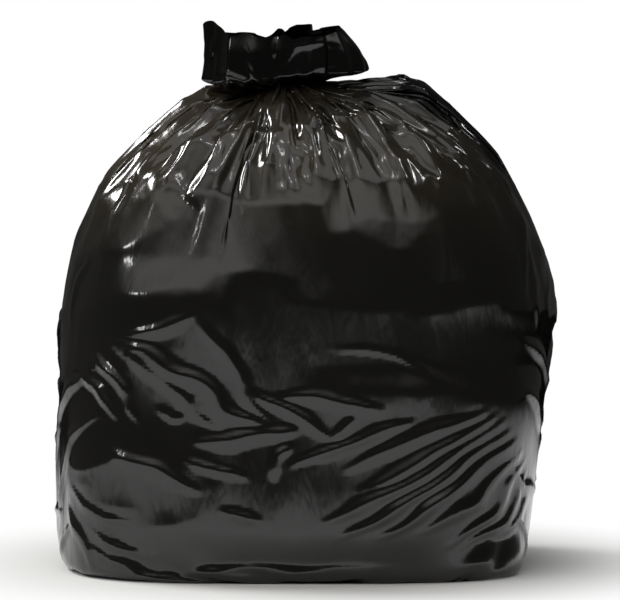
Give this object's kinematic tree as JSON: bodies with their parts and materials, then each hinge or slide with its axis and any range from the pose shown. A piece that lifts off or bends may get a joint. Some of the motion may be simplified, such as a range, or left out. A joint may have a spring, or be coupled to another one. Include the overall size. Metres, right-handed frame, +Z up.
{
  "type": "filled refuse sack",
  "caption": "Filled black refuse sack of thin glossy film, standing on its own, gathered at a neck with the loose mouth as a ruffled crown.",
  "frame": {"origin": "middle of the sack's bounding box, on the floor it stands on", "axes": "+Z up through the sack, +X to the right as seen from the front, the front facing -Y"},
  "size_m": [0.4993, 0.3944, 0.5461],
  "materials": {
    "black_film": "thin crumpled black polythene film, glossy"
  },
  "bodies": {
    "root": {"filled_sack": "black_film"}
  },
  "joints": []
}
